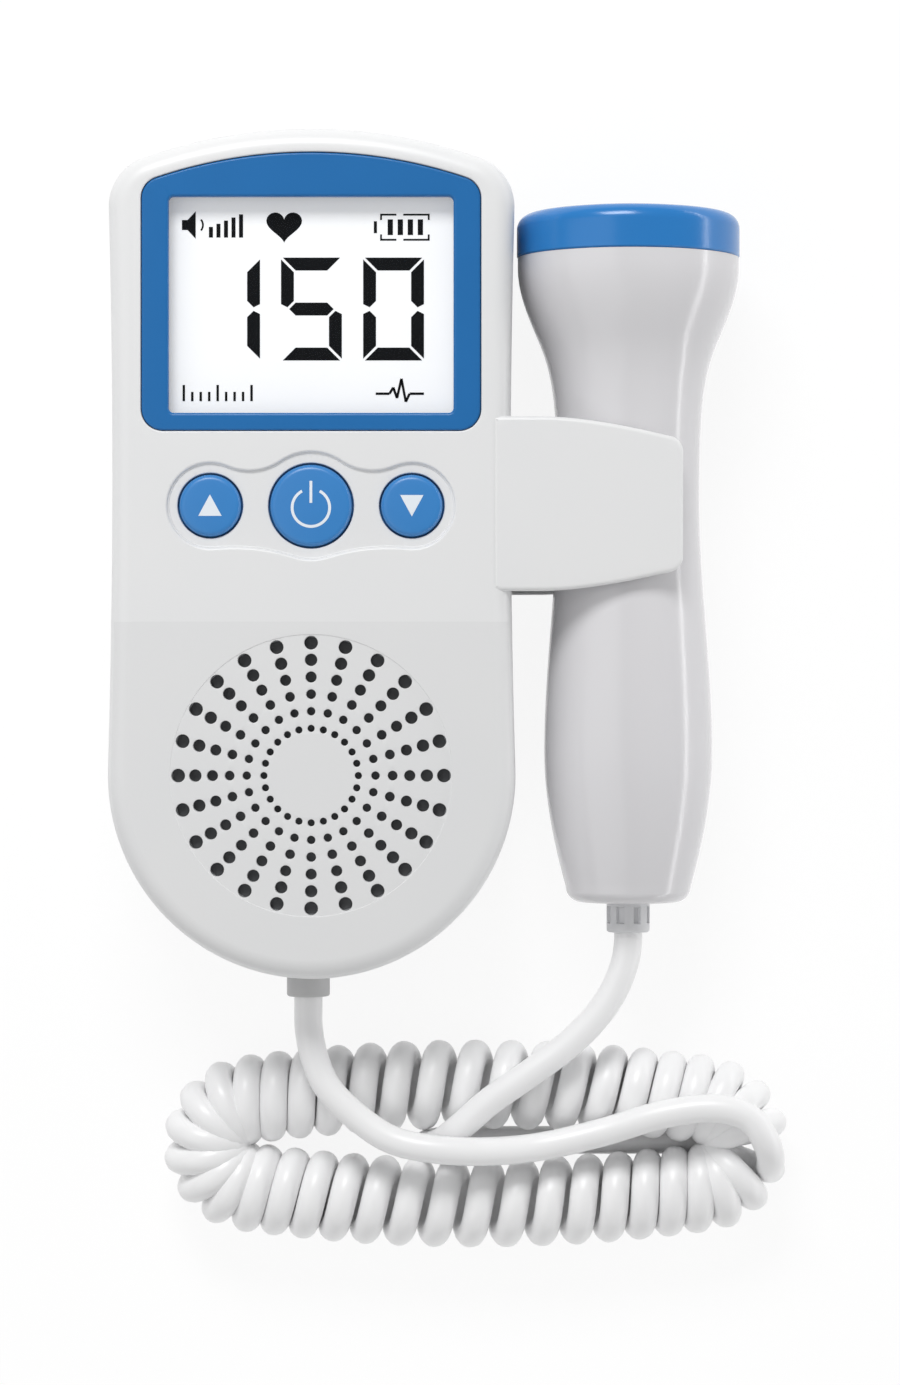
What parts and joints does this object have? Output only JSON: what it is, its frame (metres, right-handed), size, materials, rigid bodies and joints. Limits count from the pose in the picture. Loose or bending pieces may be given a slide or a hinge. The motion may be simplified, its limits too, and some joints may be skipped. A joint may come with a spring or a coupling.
{
  "type": "fetal doppler monitor",
  "caption": "Pocket fetal doppler: display unit with buttons and speaker, a probe that clips in the holder at its side, and a curly cord between them.",
  "frame": {"origin": "on the table, under the middle of the bounding box of the display unit and its clipped probe, cord left out", "axes": "+X across the unit towards the probe, +Y up the display towards the top of the unit, +Z out of the front face; the unit lies on its back on Z = 0"},
  "size_m": [0.1105, 0.1813, 0.0362],
  "materials": {
    "case_white": "injection-moulded ABS, fine satin texture",
    "probe_white": "injection-moulded ABS, smooth satin",
    "bezel_blue": "painted moulded bezel, semi-gloss",
    "button_blue": "moulded keys, semi-gloss",
    "clear_lens": "clear hard-coated acrylic window",
    "lcd": "liquid crystal cell with its polarisers",
    "light_guide": "milky acrylic light guide in its frame",
    "silicone": "moulded silicone",
    "board": "fibreglass circuit board with solder mask",
    "components": "moulded chip bodies and cans",
    "basket_steel": "zinc-plated pressed steel",
    "cone": "treated paper cone",
    "cloth": "woven speaker cloth",
    "magnet": "ferrite magnet in a steel cup",
    "cells": "steel can in a plain printed sleeve",
    "contacts": "nickel-plated spring steel",
    "screws": "zinc-plated steel",
    "gland_grey": "moulded flexible PVC sleeve",
    "probe_blue": "moulded face cap, semi-gloss",
    "ceramic_disc": "fired piezo ceramic with silvered faces",
    "backing": "filled epoxy damping block",
    "cord_white": "soft PVC cord jacket, satin"
  },
  "bodies": {
    "display_unit": {"front_shell": "case_white", "rear_shell": "case_white", "display_bezel": "bezel_blue", "display_lens": "clear_lens", "lcd_glass": "lcd", "lcd_frame": "light_guide", "keypad_mat": "silicone", "dome_up": "silicone", "dome_power": "silicone", "dome_down": "silicone", "main_board": "board", "board_parts": "components", "speaker_basket": "basket_steel", "speaker_cone": "cone", "speaker_cloth": "cloth", "speaker_magnet": "magnet", "battery_cells": "cells", "battery_contacts": "contacts", "case_screws": "screws", "unit_gland": "gland_grey", "lead_main": "cord_white", "coil_cord": "cord_white", "lead_probe": "cord_white"},
    "button_up": {"button_up": "button_blue"},
    "button_power": {"button_power": "button_blue"},
    "button_down": {"button_down": "button_blue"},
    "battery_door": {"battery_door": "case_white"},
    "probe": {"probe_front_shell": "probe_white", "probe_rear_shell": "probe_white", "probe_face": "probe_blue", "probe_crystals": "ceramic_disc", "probe_backing": "backing", "probe_board": "board", "probe_gland": "gland_grey"}
  },
  "joints": [
    {"name": "button_up_press", "type": "slide", "parent": "display_unit", "child": "button_up", "axis": [0, 0, -1], "range_m": [0, 0.0008], "stiffness_N_per_m": 2500, "deforming": ["dome_up"]},
    {"name": "button_power_press", "type": "slide", "parent": "display_unit", "child": "button_power", "axis": [0, 0, -1], "range_m": [0, 0.0008], "stiffness_N_per_m": 2500, "deforming": ["dome_power"]},
    {"name": "button_down_press", "type": "slide", "parent": "display_unit", "child": "button_down", "axis": [0, 0, -1], "range_m": [0, 0.0008], "stiffness_N_per_m": 2500, "deforming": ["dome_down"]},
    {"name": "door_slide", "type": "slide", "parent": "display_unit", "child": "battery_door", "axis": [0, -1, 0], "range_m": [0, 0.008]},
    {"name": "probe_unclip", "type": "slide", "parent": "display_unit", "child": "probe", "axis": [1, 0, 0], "range_m": [0, 0.03]}
  ]
}
